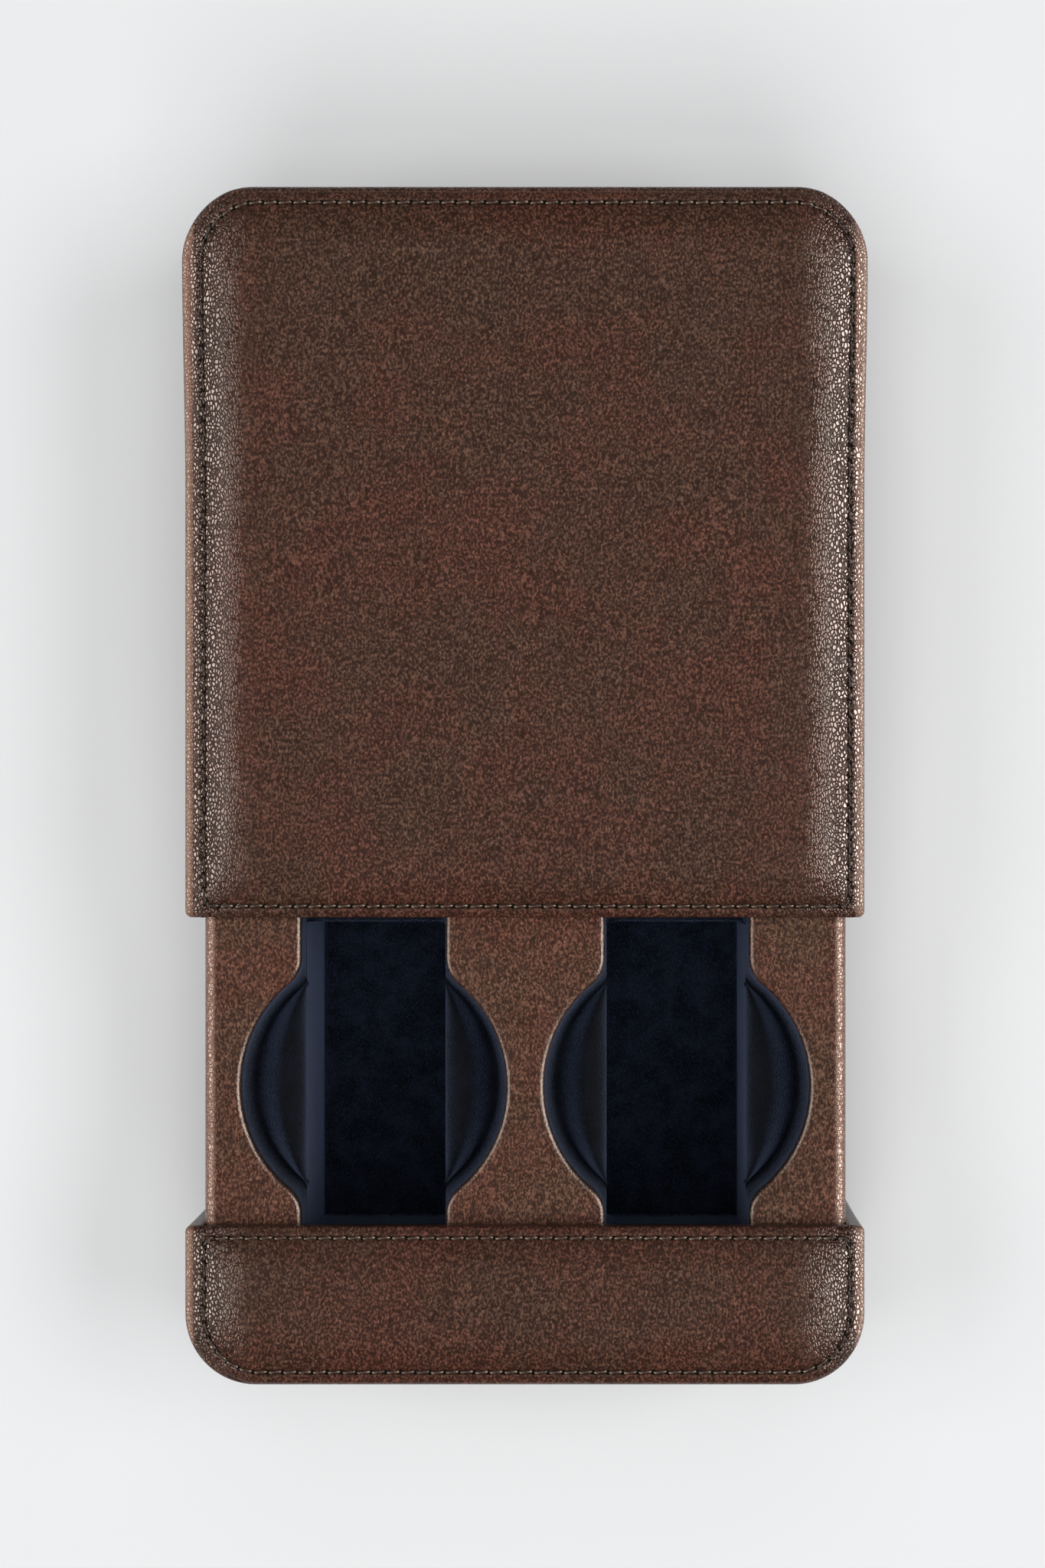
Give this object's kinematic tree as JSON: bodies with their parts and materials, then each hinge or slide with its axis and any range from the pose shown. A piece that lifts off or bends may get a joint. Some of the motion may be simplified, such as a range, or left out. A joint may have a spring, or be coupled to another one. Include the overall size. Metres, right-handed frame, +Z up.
{
  "type": "sliding watch travel case",
  "caption": "Padded leather sleeve with a drawer-like tray that slides out by its padded end cap; velvet-lined keyhole wells hold wristwatches.",
  "frame": {"origin": "middle of the underside of the whole case, with the tray drawn out 56 mm as it rests here", "axes": "+Z up from the underside, +Y towards the closed rear of the sleeve (the tray slides out along -Y), +X to the right seen from above with the sleeve away from the viewer"},
  "size_m": [0.125, 0.2176, 0.062],
  "materials": {
    "leather": "satin",
    "deck_leather": "satin",
    "velvet": "matte",
    "lining": "matte",
    "thread": "matte",
    "board": "matte",
    "wood": "satin",
    "foam": "matte"
  },
  "bodies": {
    "sleeve": {"sleeve_bottom_board": "board", "sleeve_bottom_leather": "leather", "sleeve_bottom_lining": "lining", "sleeve_bottom_padding": "foam", "sleeve_bottom_thread": "thread", "sleeve_gusset_leather": "leather", "sleeve_left_corner": "wood", "sleeve_left_rail": "board", "sleeve_rear_rail": "board", "sleeve_right_corner": "wood", "sleeve_right_rail": "board", "sleeve_side_lining": "lining", "sleeve_top_board": "board", "sleeve_top_leather": "leather", "sleeve_top_lining": "lining", "sleeve_top_padding": "foam", "sleeve_top_thread": "thread"},
    "tray": {"cap_bottom_board": "board", "cap_bottom_leather": "leather", "cap_bottom_padding": "foam", "cap_bottom_thread": "thread", "cap_filler_block": "wood", "cap_front_rail": "board", "cap_gusset_leather": "leather", "cap_left_corner": "wood", "cap_left_rail": "board", "cap_right_corner": "wood", "cap_right_rail": "board", "cap_top_board": "board", "cap_top_leather": "leather", "cap_top_padding": "foam", "cap_top_thread": "thread", "tray_bottom_leather": "leather", "tray_centre_foam_front": "foam", "tray_centre_foam_rear": "foam", "tray_cross_divider": "board", "tray_deck_board": "wood", "tray_deck_leather": "deck_leather", "tray_floor_board": "board", "tray_front_board": "board", "tray_left_board": "board", "tray_left_corner": "board", "tray_left_foam_front": "foam", "tray_left_foam_rear": "foam", "tray_rear_board": "board", "tray_right_board": "board", "tray_right_corner": "board", "tray_right_foam_front": "foam", "tray_right_foam_rear": "foam", "tray_side_leather": "leather", "well_lining_front_left": "velvet", "well_lining_front_right": "velvet", "well_lining_rear_left": "velvet", "well_lining_rear_right": "velvet"}
  },
  "joints": [
    {"name": "tray_slide", "type": "slide", "parent": "sleeve", "child": "tray", "axis": [0, -1, 0], "range_m": [-0.0558, 0.078]}
  ]
}
